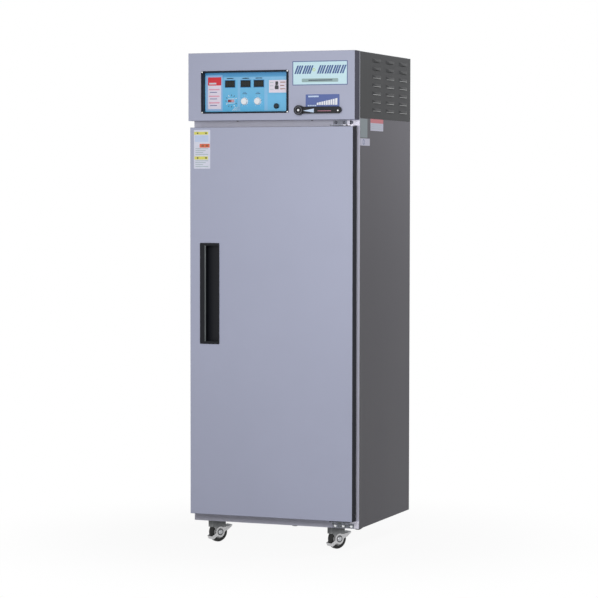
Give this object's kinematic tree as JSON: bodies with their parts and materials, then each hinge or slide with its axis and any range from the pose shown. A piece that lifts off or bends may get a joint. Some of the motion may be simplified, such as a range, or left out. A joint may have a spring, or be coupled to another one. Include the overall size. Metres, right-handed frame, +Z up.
{
  "type": "drying cabinet",
  "caption": "Tall floor-standing drying cabinet on casters: louvred machine space with control panel over one insulated door with a flush pull, wire shelves inside.",
  "frame": {"origin": "middle of the footprint, on the floor under the casters", "axes": "+Z up, the door and the control panel face -Y, +X is to the right as one faces the door"},
  "size_m": [0.66, 0.639, 1.809],
  "materials": {
    "front_steel": "satin paint, pale blue grey",
    "side_steel": "dark grey satin paint",
    "galvanised": "zinc coated sheet",
    "stainless": "brushed",
    "zinc_steel": "zinc plated",
    "shelf_wire": "polished wire",
    "insulation_foam": "mineral wool slabs",
    "black_plastic": "satin moulded",
    "white_plastic": "gloss moulded",
    "red_plastic": "translucent moulded, lit from inside",
    "panel_blue": "printed film on steel",
    "display_dark": "tinted window",
    "motor_paint": "gloss paint",
    "board_green": "laminate with solder mask",
    "gasket_rubber": "soft moulded",
    "tyre_rubber": "matt",
    "wheel_plastic": "moulded"
  },
  "bodies": {
    "cabinet": {"left_side_panel": "side_steel", "right_side_panel": "side_steel", "left_upper_panel": "side_steel", "right_upper_panel": "side_steel", "rear_panel": "galvanised", "top_cover": "galvanised", "front_frame": "front_steel", "base_frame": "galvanised", "machine_deck": "galvanised", "inner_liner": "stainless", "insulation": "insulation_foam", "header_fascia": "front_steel", "control_bezel": "black_plastic", "control_plate": "panel_blue", "display_windows": "display_dark", "fasteners": "zinc_steel", "exhaust_duct": "galvanised", "air_duct_panel": "stainless", "shelf_pilasters": "stainless", "shelf_clips": "stainless", "fan_motor": "motor_paint", "heater_element": "stainless", "temperature_probe": "stainless", "circuit_board": "board_green", "hinge_bracket_top": "zinc_steel", "hinge_bracket_bottom": "zinc_steel", "caster_plates": "zinc_steel", "shelf_1": "shelf_wire", "shelf_2": "shelf_wire", "shelf_3": "shelf_wire"},
    "damper": {"damper_lever": "black_plastic", "damper_shaft": "zinc_steel"},
    "temperature_knob": {"temperature_knob": "white_plastic"},
    "timer_knob": {"timer_knob": "white_plastic"},
    "power_switch": {"power_switch": "red_plastic"},
    "reset_button": {"reset_button": "black_plastic"},
    "fan": {"fan_wheel": "galvanised"},
    "door": {"door_skin": "front_steel", "door_inner_panel": "stainless", "door_insulation": "insulation_foam", "door_gasket": "gasket_rubber", "door_handle": "black_plastic"},
    "caster_front_left": {"fork_front_left": "zinc_steel", "axle_front_left": "zinc_steel"},
    "wheel_front_left": {"hub_front_left": "wheel_plastic", "tyre_front_left": "tyre_rubber"},
    "brake_front_left": {"brake_front_left": "zinc_steel"},
    "caster_front_right": {"fork_front_right": "zinc_steel", "axle_front_right": "zinc_steel"},
    "wheel_front_right": {"hub_front_right": "wheel_plastic", "tyre_front_right": "tyre_rubber"},
    "brake_front_right": {"brake_front_right": "zinc_steel"},
    "caster_rear_left": {"fork_rear_left": "zinc_steel", "axle_rear_left": "zinc_steel"},
    "wheel_rear_left": {"hub_rear_left": "wheel_plastic", "tyre_rear_left": "tyre_rubber"},
    "caster_rear_right": {"fork_rear_right": "zinc_steel", "axle_rear_right": "zinc_steel"},
    "wheel_rear_right": {"hub_rear_right": "wheel_plastic", "tyre_rear_right": "tyre_rubber"}
  },
  "joints": [
    {"name": "door_hinge", "type": "hinge", "parent": "cabinet", "child": "door", "pos_m": [0.307, -0.2785, 0.114], "axis": [0, 0, 1], "range_deg": [0, 120]},
    {"name": "damper_turn", "type": "hinge", "parent": "cabinet", "child": "damper", "pos_m": [0.1155, -0.3005, 1.5965], "axis": [0, -1, 0], "range_deg": [0, 90]},
    {"name": "temperature_turn", "type": "hinge", "parent": "cabinet", "child": "temperature_knob", "pos_m": [-0.108, -0.2825, 1.632], "axis": [0, 1, 0], "range_deg": [0, 300]},
    {"name": "timer_turn", "type": "hinge", "parent": "cabinet", "child": "timer_knob", "pos_m": [-0.056, -0.2825, 1.632], "axis": [0, 1, 0], "range_deg": [0, 300]},
    {"name": "power_switch_rock", "type": "hinge", "parent": "cabinet", "child": "power_switch", "pos_m": [-0.161, -0.28, 1.634], "axis": [0, 0, 1], "range_deg": [0, 12]},
    {"name": "reset_button_press", "type": "slide", "parent": "cabinet", "child": "reset_button", "axis": [0, 1, 0], "range_m": [0, 0.003], "stiffness_N_per_m": 150},
    {"name": "fan_spin", "type": "hinge", "parent": "cabinet", "child": "fan", "pos_m": [0, 0.1265, 1.506], "axis": [0, 0, 1], "continuous": true},
    {"name": "swivel_front_left", "type": "hinge", "parent": "cabinet", "child": "caster_front_left", "pos_m": [-0.2365, -0.1865, 0.08], "axis": [0, 0, 1], "continuous": true},
    {"name": "roll_front_left", "type": "hinge", "parent": "caster_front_left", "child": "wheel_front_left", "pos_m": [-0.24783, -0.20536, 0.0375], "axis": [0.8572, -0.515, 0], "continuous": true},
    {"name": "pedal_front_left", "type": "hinge", "parent": "caster_front_left", "child": "brake_front_left", "pos_m": [-0.24783, -0.20536, 0.0375], "axis": [0.8572, -0.515, 0], "range_deg": [0, 8]},
    {"name": "swivel_front_right", "type": "hinge", "parent": "cabinet", "child": "caster_front_right", "pos_m": [0.2365, -0.1865, 0.08], "axis": [0, 0, 1], "continuous": true},
    {"name": "roll_front_right", "type": "hinge", "parent": "caster_front_right", "child": "wheel_front_right", "pos_m": [0.22517, -0.20536, 0.0375], "axis": [0.8572, -0.515, 0], "continuous": true},
    {"name": "pedal_front_right", "type": "hinge", "parent": "caster_front_right", "child": "brake_front_right", "pos_m": [0.22517, -0.20536, 0.0375], "axis": [0.8572, -0.515, 0], "range_deg": [0, 8]},
    {"name": "swivel_rear_left", "type": "hinge", "parent": "cabinet", "child": "caster_rear_left", "pos_m": [-0.13, 0.2485, 0.08], "axis": [0, 0, 1], "continuous": true},
    {"name": "roll_rear_left", "type": "hinge", "parent": "caster_rear_left", "child": "wheel_rear_left", "pos_m": [-0.12431, 0.26975, 0.0375], "axis": [-0.9659, 0.2588, 0], "continuous": true},
    {"name": "swivel_rear_right", "type": "hinge", "parent": "cabinet", "child": "caster_rear_right", "pos_m": [0.13, 0.2485, 0.08], "axis": [0, 0, 1], "continuous": true},
    {"name": "roll_rear_right", "type": "hinge", "parent": "caster_rear_right", "child": "wheel_rear_right", "pos_m": [0.13569, 0.26975, 0.0375], "axis": [-0.9659, 0.2588, 0], "continuous": true}
  ]
}
